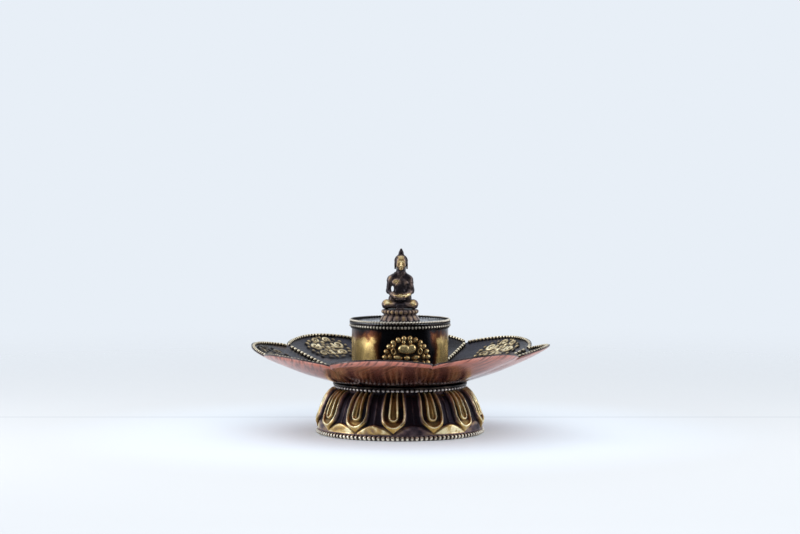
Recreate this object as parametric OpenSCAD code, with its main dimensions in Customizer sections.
// Tabletop incense censer: a lotus foot, an eight-petalled dish, a round incense pot and a
// lift-off lid that carries a small seated figure. Millimetres, +Z up, origin on the axis at
// the level of the table. The figure faces -Y.

/* [Foot] */
// Diameter of the foot across its bulging lotus petals
foot_d = 84.2; // [80:0.2:90]
// Diameter of the collar at the top of the foot
neck_d = 64; // [60:0.5:66]
// Height of the foot from the table to the top of its collar
foot_h = 24.6; // [22:0.2:28]
// Number of lotus petals round the foot
foot_petals = 13; // [8:1:16]
// Wall thickness of the foot casting
foot_wall = 2.4; // [2:0.1:3]

/* [Dish] */
// Diameter of the dish across its petal tips
dish_d = 150.6; // [140:0.2:160]
// Diameter of the dish across the notches between petals
dish_notch_d = 136; // [130:0.5:142]
// Number of petals on the dish
dish_petals = 8; // [6:1:10]
// Rise of the petal tips above the floor of the dish
dish_rise = 18.6; // [12:0.2:26]
// How far each petal is cupped between its creases
petal_cup = 1.1; // [0:0.1:2]
// How far the rim of the dish sags on the side where it sags most
dish_sag = 2.8; // [0:0.1:3]
// Thickness of the dish sheet
sheet_t = 0.8; // [0.6:0.1:1.2]

/* [Pot] */
// Outside diameter of the incense pot
pot_d = 48.4; // [44:0.2:52]
// Height of the pot wall
pot_h = 29.1; // [24:0.1:34]
// Thickness of the pot wall
pot_wall_t = 0.8; // [0.6:0.1:1.2]

/* [Lid] */
// Diameter of the lid plate
lid_d = 50.6; // [48:0.2:53]
// Depth of the skirt that drops into the pot
skirt_h = 4; // [3:0.5:8]
// Number of smoke holes in the lid
smoke_holes = 8; // [6:1:12]
// Diameter of one smoke hole
smoke_hole_d = 3.2; // [2:0.2:4]

/* [Figure] */
// Height of the seated figure above its lotus seat
figure_h = 30.4; // [28:0.2:34]
// Diameter of the lotus seat under the figure
seat_d = 20.6; // [19:0.2:22]
// Height of the lotus seat
seat_h = 6.1; // [5.6:0.1:8]

/* [Hidden] */
$fn = 96;
eps = 0.01;
fit_gap = 0.05;          // clearance between round faces that nest in one another
wire_r = 0.75;           // radius of the beaded wires
foot_wire_r = 1.0;       // radius of the heavier wire at the foot's lower edge

// headings of the parts about the axis, anticlockwise from -Y as seen from above
foot_turn = -4.4;
dish_turn = -8.5;
sag_turn = -28;
pot_turn = 8;

// levels
plate_t = 0.8;           // thickness of the flat discs
dish_z = foot_h + plate_t;               // underside of the dish floor
pot_z = dish_z + sheet_t;                // underside of the pot
pot_top = pot_z + pot_h;                 // mouth of the pot
floor_t = 1.0;
pot_floor_z = pot_z + floor_t;           // inside floor of the pot
lid_t = 0.7;                              // thickness of the lid plate
lid_top = pot_top + lid_t;               // upper face of the lid plate
seat_top = lid_top + seat_h;             // where the figure sits

// fasteners
bolt_r = 1.95;
bolt_hole_r = 2.2;
bolt_head_h = 2.4;
washer_t = 0.6;
nut_h = 3;
nut_r = 4.04;            // to the corners
spike_h = 9;
stud_r = 1.45;
stud_hole_r = 1.6;
stud_nut_h = 2.4;
stud_nut_r = 3.18;       // to the corners
stud_into_seat = 4.6;

// dish surface
petal_half = 180 / dish_petals;          // half the angle of one petal
slope_r = neck_d / 2 - 0.5;              // where the petals start to rise
tip_r = dish_d / 2;
notch_r = dish_notch_d / 2;
// the lobe of each petal is an arc through the tip and the two notches
lobe_sag = tip_r - notch_r * cos(petal_half);
lobe_chord = notch_r * sin(petal_half);
lobe_r = (lobe_chord * lobe_chord + lobe_sag * lobe_sag) / (2 * lobe_sag);
lobe_c = tip_r - lobe_r;
notch_depth = 1.6;
notch_angle = 1.1;
rise_curl = 0.25;        // share of the rise that comes late, as the tip curls up

function lobe_edge(phi) =
    lobe_c * cos(phi) + sqrt(lobe_r * lobe_r - pow(lobe_c * sin(phi), 2))
    - notch_depth * exp(-pow((petal_half - abs(phi)) / notch_angle, 2));

// heading of the middle of petal n
function petal_turn(n) = dish_turn + (n - 1) * 2 * petal_half;

// height of the dish's underside at radius r, phi degrees from the middle of petal n
function dish_under(r, phi, n) =
    let (t = max(0, (r - slope_r) / (tip_r - slope_r)))
    dish_z + dish_rise * (t * (1 - rise_curl) + rise_curl * pow(t, 3))
    + petal_cup * pow(phi / petal_half, 2) * 4 * t * max(0, 1 - t)
    - dish_sag * t * max(0, cos(petal_turn(n) + phi - sag_turn));

function dish_over(r, phi, n) = dish_under(r, phi, n) + sheet_t;

function polar(r, a, z) = [r * sin(a), -r * cos(a), z];

function unit(v) = v / norm(v);

// ring of points round a path point p, square to the heading t
function tube_ring(p, t, r, sides) =
    let (side = unit(cross(t, [0, 0, 1])), up = cross(side, t))
    [for (k = [0:sides - 1]) p + r * (cos(360 * k / sides) * side + sin(360 * k / sides) * up)];

module tube(path, r, sides = 8) {
    last = len(path) - 1;
    rings = [for (i = [0:last])
        tube_ring(path[i], unit(path[min(i + 1, last)] - path[max(i - 1, 0)]), r, sides)];
    points = [for (ring = rings) each ring];
    walls = [for (i = [0:last - 1]) for (k = [0:sides - 1])
        let (a = i * sides, b = a + sides, n = (k + 1) % sides)
        each [[a + k, b + k, b + n], [a + k, b + n, a + n]]];
    start_cap = [[for (k = [0:sides - 1]) k]];
    end_cap = [[for (k = [sides - 1:-1:0]) last * sides + k]];
    polyhedron(points, concat(walls, start_cap, end_cap), convexity = 6);
}

module disc(r, z, t, hole_r = 0) {
    translate([0, 0, z]) difference() {
        cylinder(r = r, h = t);
        if (hole_r > 0) translate([0, 0, -eps]) cylinder(r = hole_r, h = t + 2 * eps);
    }
}

module sleeve(outer_r, inner_r, z, h) {
    disc(outer_r, z, h, inner_r);
}

// a wire ring laid against a cylinder of radius back_r
module wire_ring(center_r, z, r, back_r) {
    translate([0, 0, z]) difference() {
        rotate_extrude() translate([center_r, 0]) circle(r = r, $fn = 24);
        translate([0, 0, -r - 1]) cylinder(r = back_r + fit_gap, h = 2 * r + 2);
    }
}

module hex_nut(corner_r, hole_r, z, h) {
    translate([0, 0, z]) difference() {
        cylinder(r = corner_r, h = h, $fn = 6);
        translate([0, 0, -eps]) cylinder(r = hole_r, h = h + 2 * eps);
    }
}

// ---- foot ----

foot_r = foot_d / 2;
neck_r = neck_d / 2;
neck_wall = 0.8;
neck_drop = 2;           // height of the straight collar
rim_r = foot_r - 2.2;    // outside of the flat rim that the foot stands on
rim_w = 3.4;
rim_t = 0.8;
petal_lift = 1.1;        // how far the petals stand out of the shell behind them
petal_gap = 3.2;         // degrees of plain shell between neighbouring petals
petal_root = 0.3;        // how deep a petal is rooted in the shell

// a petal's outer face from its lower end upwards: how far it lies inside foot_r, and its
// height as a share of the foot's height
petal_face = [
    [1.6, 0.17], [0.8, 0.245], [0, 0.305], [0.35, 0.38],
    [1.3, 0.455], [2.8, 0.62], [4.8, 0.78], [7.3, 0.894]
];

function petal_curve(inset, drop = 0) =
    [for (p = petal_face) [foot_r - p[0] - inset, p[1] * foot_h - drop]];

function reversed(v) = [for (i = [len(v) - 1:-1:0]) v[i]];

module foot_outline() {
    polygon(concat(
        [[rim_r, 0], [rim_r + 0.3, 2.5]],
        petal_curve(petal_lift),
        [[neck_r, foot_h - neck_drop], [neck_r, foot_h]],
        [[neck_r - neck_wall, foot_h], [neck_r - neck_wall, foot_h - neck_drop - 0.3]],
        reversed(petal_curve(foot_wall)),
        [[foot_r - petal_face[0][0] - foot_wall, rim_t], [rim_r - rim_w, rim_t], [rim_r - rim_w, 0]]
    ));
}

module foot_shell() {
    pitch = 360 / foot_petals;
    color("darkgoldenrod") {
        rotate_extrude() foot_outline();
        for (i = [0:foot_petals - 1])
            rotate([0, 0, foot_turn - 90 + i * pitch - (pitch - petal_gap) / 2])
                rotate_extrude(angle = pitch - petal_gap)
                    polygon(concat(
                        petal_curve(0),
                        reversed(petal_curve(petal_lift + petal_root, petal_root))
                    ));
    }
}

module foot_bottom_bead() {
    color("silver") wire_ring(foot_r - foot_wire_r, foot_wire_r + 0.3, foot_wire_r, rim_r + 0.3);
}

module foot_neck_bead() {
    color("silver") wire_ring(neck_r + 0.55, foot_h - 0.8, wire_r, neck_r);
}

module foot_top_plate() {
    color("goldenrod")
        disc(neck_r - neck_wall - fit_gap, foot_h - plate_t, plate_t, bolt_hole_r);
}

module neck_ring() {
    color("dimgray") sleeve(neck_r + 1.6, neck_r - 3, foot_h, plate_t);
}

// ---- dish ----

petal_steps = 12;        // facets across one petal
slope_steps = 10;        // facets from the floor to the petal edge

module petal_dish() {
    around = dish_petals * petal_steps;
    // the steps crowd towards the creases, where the edge turns fastest
    angle = function (i) petal_half * sin(180 * (i % petal_steps) / petal_steps - 90);
    petal = function (i) 1 + floor(i / petal_steps);
    reach = function (i, j) j == 0
        ? bolt_hole_r
        : slope_r + (lobe_edge(angle(i)) - slope_r) * (j - 1) / slope_steps;
    rows = slope_steps + 1;
    under = [for (j = [0:rows]) for (i = [0:around - 1])
        let (r = reach(i, j), phi = angle(i), n = petal(i))
        polar(r, petal_turn(n) + phi, dish_under(r, phi, n))];
    points = concat(under, [for (p = under) p + [0, 0, sheet_t]]);
    top = len(under);
    at = function (i, j) j * around + i % around;
    quads = [for (j = [0:rows - 1]) for (i = [0:around - 1])
        [at(i, j), at(i + 1, j), at(i + 1, j + 1), at(i, j + 1)]];
    below = [for (q = quads) each [[q[2], q[1], q[0]], [q[3], q[2], q[0]]]];
    above = [for (q = quads)
        each [[top + q[0], top + q[1], top + q[2]], [top + q[0], top + q[2], top + q[3]]]];
    hole = [for (i = [0:around - 1])
        let (a = at(i, 0), b = at(i + 1, 0)) each [[a, b, top + b], [a, top + b, top + a]]];
    edge = [for (i = [0:around - 1])
        let (a = at(i, rows), b = at(i + 1, rows)) each [[b, a, top + a], [b, top + a, top + b]]];
    color("sienna")
        polyhedron(points, [for (f = concat(below, above, hole, edge)) [f[2], f[1], f[0]]], convexity = 8);
}

rim_steps = 20;
rim_end = 0.955;         // share of the half petal that its rim wire reaches
wire_lift = 0.15;        // clearance between a petal and the facets of the wire on it
crease_steps = 6;
crease_in = 1.5;         // start of a crease wire, outside the neck

module on_petal(n) {
    color("silver") rotate([0, 0, petal_turn(n)]) children();
}

// the beaded wire along the curved edge of petal n
module petal_rim_bead(n) {
    path = [for (i = [0:rim_steps])
        let (phi = petal_half * rim_end * sin(180 * i / rim_steps - 90), r = lobe_edge(phi) - wire_r)
        polar(r, phi, dish_over(r, phi, n) + wire_r + wire_lift)];
    on_petal(n) tube(path, wire_r);
}

// the beaded wire down the crease after petal n
module petal_crease_bead(n) {
    start = neck_r + crease_in;
    finish = notch_r - notch_depth - 2.6 * wire_r;
    path = [for (i = [0:crease_steps])
        let (r = start + (finish - start) * i / crease_steps)
        polar(r, petal_half, dish_over(r, petal_half, n) + wire_r + wire_lift)];
    on_petal(n) tube(path, wire_r);
}

ornament_r = 62.6;       // distance of an ornament's middle from the axis
ornament_w = 12.6;       // half its width across the petal
ornament_l = 9.9;        // half its length along the petal
ornament_t = 0.9;
ornament_gap = 0.12;     // clearance between a petal and the facets of its ornament
ornament_rings = 4;
ornament_sides = 32;

// the flat flower relief on petal n: a four-lobed patch that follows the petal's surface
module petal_ornament(n) {
    lobe = function (k) 0.88 + 0.12 * cos(4 * 360 * k / ornament_sides);
    spot = function (k, s, lift)
        let (a = 360 * k / ornament_sides,
             across = s * lobe(k) * ornament_w * sin(a),
             r = ornament_r + s * lobe(k) * ornament_l * cos(a),
             phi = across / r * 180 / PI)
        polar(r, phi, dish_over(r, phi, n) + ornament_gap + lift);
    ring = function (s, lift) [for (k = [0:ornament_sides - 1]) spot(k, s, lift)];
    levels = [for (i = [1:ornament_rings]) i / ornament_rings];
    low = [for (s = levels) each ring(s, 0)];
    high = [for (s = levels) each ring(s, ornament_t * (1 - 0.45 * s * s))];
    points = concat([spot(0, 0, 0)], low, [spot(0, 0, ornament_t)], high);
    top = 1 + len(low);
    bands = [for (i = [0:ornament_rings - 2]) for (k = [0:ornament_sides - 1])
        let (a = 1 + i * ornament_sides, n = (k + 1) % ornament_sides)
        [a + k, a + ornament_sides + k, a + ornament_sides + n, a + n]];
    fans = [for (k = [0:ornament_sides - 1]) [0, 1 + k, 1 + (k + 1) % ornament_sides]];
    last = 1 + (ornament_rings - 1) * ornament_sides;
    below = concat(fans, [for (q = bands) each [[q[0], q[1], q[2]], [q[0], q[2], q[3]]]]);
    above = [for (f = below) [top + f[2], top + f[1], top + f[0]]];
    wall = [for (k = [0:ornament_sides - 1])
        let (a = last + k, b = last + (k + 1) % ornament_sides)
        each [[a, top + a, top + b], [a, top + b, b]]];
    on_petal(n) color("goldenrod") polyhedron(points, concat(below, above, wall), convexity = 4);
}

// ---- pot ----

pot_r = pot_d / 2;
medallion_r = 12.3;
medallion_z = pot_z + 11.6;
medallion_t = 1.3;
medallion_lobes = 14;
mouth_gap = 0.25;        // between the mouth's beaded wire and the lid
thin_wire_r = 0.35;

module pot_wall() {
    color("goldenrod") sleeve(pot_r, pot_r - pot_wall_t, pot_z, pot_h);
}

module pot_floor() {
    color("goldenrod") disc(pot_r - pot_wall_t - fit_gap, pot_z, floor_t, bolt_hole_r);
}

module pot_mouth_bead() {
    color("silver") wire_ring(pot_r + 0.5, pot_top - mouth_gap - wire_r, wire_r, pot_r);
}

module pot_mouth_wire() {
    color("gray") wire_ring(pot_r + 0.25, pot_top - mouth_gap - 2 * wire_r - thin_wire_r, thin_wire_r, pot_r);
}

// a round relief on the pot wall, its lower edge cut level above the dish
module pot_medallion(turn) {
    back_r = pot_r + fit_gap;
    color("gold") rotate([0, 0, turn]) intersection() {
        sleeve(back_r + medallion_t, back_r, pot_z + 0.6, pot_h);
        translate([0, 0, medallion_z]) rotate([90, 0, 0]) union() {
            cylinder(r = medallion_r - 1.4, h = 2 * pot_r);
            for (k = [0:medallion_lobes - 1]) rotate([0, 0, 360 * k / medallion_lobes])
                translate([medallion_r - 1.6, 0, 0]) cylinder(r = 1.6, h = 2 * pot_r, $fn = 24);
        }
    }
}

module pot_medallion_front() {
    pot_medallion(pot_turn);
}

module pot_medallion_back() {
    pot_medallion(pot_turn + 180);
}

// ---- bolt through the foot, dish and pot ----

bolt_seat = foot_h - plate_t - washer_t;

module centre_bolt() {
    top = pot_floor_z + washer_t + nut_h + 1.4;
    color("gray") translate([0, 0, bolt_seat]) {
        translate([0, 0, -bolt_head_h]) cylinder(r = 3.6, h = bolt_head_h, $fn = 6);
        cylinder(r = bolt_r, h = top - bolt_seat);
    }
}

module bolt_washer() {
    color("silver") disc(5, bolt_seat, washer_t, bolt_hole_r);
}

module pot_washer() {
    color("silver") disc(6, pot_floor_z, washer_t, bolt_hole_r);
}

// the nut that clamps the stack and whose spike carries a coil of incense
module spike_nut() {
    seat = pot_floor_z + washer_t;
    bore = nut_h + 2;
    color("goldenrod") translate([0, 0, seat]) difference() {
        union() {
            cylinder(r = nut_r, h = nut_h, $fn = 6);
            translate([0, 0, nut_h]) cylinder(r1 = 3, r2 = 2.6, h = 2.6);
            translate([0, 0, nut_h + 2.6]) cylinder(r1 = 2.2, r2 = 0.3, h = spike_h - 2.6);
        }
        translate([0, 0, -eps]) cylinder(r = bolt_r + fit_gap, h = bore);
    }
}

// ---- lid ----

lid_r = lid_d / 2;
skirt_r = pot_r - pot_wall_t - 0.4;

module lid_plate() {
    color("darkgoldenrod") difference() {
        disc(lid_r, pot_top, lid_t, stud_hole_r);
        for (i = [0:smoke_holes - 1]) rotate([0, 0, (i + 0.5) * 360 / smoke_holes])
            translate([0, -(seat_d / 2 + skirt_r) / 2, pot_top - 1])
                cylinder(d = smoke_hole_d, h = plate_t + 2);
    }
}

module lid_skirt() {
    color("goldenrod") sleeve(skirt_r, skirt_r - plate_t, pot_top - skirt_h, skirt_h);
}

module lid_rope() {
    color("silver") translate([0, 0, lid_top + wire_r])
        rotate_extrude() translate([lid_r - wire_r, 0]) circle(r = wire_r, $fn = 24);
}

module figure_stud() {
    low = pot_top - washer_t - stud_nut_h - 0.6;
    color("gray") translate([0, 0, low]) cylinder(r = stud_r, h = lid_top + stud_into_seat - low);
}

module figure_washer() {
    color("silver") disc(3.6, pot_top - washer_t, washer_t, stud_hole_r);
}

module figure_nut() {
    color("silver") hex_nut(stud_nut_r, stud_r + fit_gap, pot_top - washer_t - stud_nut_h, stud_nut_h);
}

// ---- lotus seat and figure ----

module figure_seat() {
    r = seat_d / 2;
    waist = seat_h * 0.6;
    color("darkgoldenrod") translate([0, 0, lid_top]) difference() {
        rotate_extrude() polygon([
            [0, 0],
            [r, 0],
            [r, 0.6],
            [r - 0.9, waist - 0.3],
            [r - 1.7, waist],
            [r - 1.7, waist + 0.4],
            [r - 1.1, waist + 0.9],
            [r - 1, seat_h - 0.9],
            [r - 1.5, seat_h - 0.2],
            [r - 2, seat_h],
            [0, seat_h]
        ]);
        translate([0, 0, -eps]) cylinder(r = stud_r + fit_gap, h = stud_into_seat + 0.2);
    }
}

head_shift = 0.5;        // the head sits slightly to the figure's left

module ball(x, y, z, r) {
    translate([x, y, z]) sphere(r = r, $fn = 20);
}

module limb(a, ra, b, rb) {
    hull() {
        ball(a[0], a[1], a[2], ra);
        ball(b[0], b[1], b[2], rb);
    }
}

// the figure is modelled on a seat at height 0, facing -Y, and cut level underneath
module seated_figure() {
    k = figure_h / 30.4;
    shoulder = [5.1, 1, 15.2];
    elbow = [5.9, 0.4, 8.6];
    hand = [0.6, -3.6, 5.6];
    color("darkgoldenrod") translate([0, 0, seat_top]) scale(k) intersection() {
        union() {
            // crossed legs
            hull() {
                for (side = [-1, 1]) ball(side * 6.9, -1.2, 2.2, 2.2);
                ball(0, 3.6, 2.4, 3);
                ball(0, -4.6, 1.4, 1.6);
            }
            // trunk
            hull() {
                ball(0, 1.6, 4.4, 3.4);
                ball(0, 1.1, 12.4, 3.6);
                for (side = [-1, 1]) ball(side * 4.3, 1.1, 14.9, 1.9);
            }
            for (side = [-1, 1]) {
                limb([side * shoulder[0], shoulder[1], shoulder[2]], 1.6,
                     [side * elbow[0], elbow[1], elbow[2]], 1.3);
                limb([side * elbow[0], elbow[1], elbow[2]], 1.3,
                     [side * hand[0], hand[1], hand[2]], 1.1);
            }
            translate([head_shift / 2, 0.9, 16]) cylinder(r = 1.9, h = 4.5, $fn = 20);
            // head, topknot and flame
            hull() {
                ball(head_shift, 0.7, 23.9, 3.2);
                ball(head_shift, 0.3, 21.6, 2.2);
            }
            translate([head_shift, 0.8, 26.4]) cylinder(r1 = 1.75, r2 = 0.5, h = 4, $fn = 20);
        }
        translate([-20, -20, 0]) cube([40, 40, 40]);
    }
}

foot_shell();
foot_bottom_bead();
foot_neck_bead();
foot_top_plate();
neck_ring();
petal_dish();
for (n = [1:dish_petals]) {
    petal_rim_bead(n);
    petal_crease_bead(n);
    petal_ornament(n);
}
pot_wall();
pot_floor();
pot_mouth_bead();
pot_mouth_wire();
pot_medallion_front();
pot_medallion_back();
centre_bolt();
bolt_washer();
pot_washer();
spike_nut();
lid_plate();
lid_skirt();
lid_rope();
figure_stud();
figure_washer();
figure_nut();
figure_seat();
seated_figure();
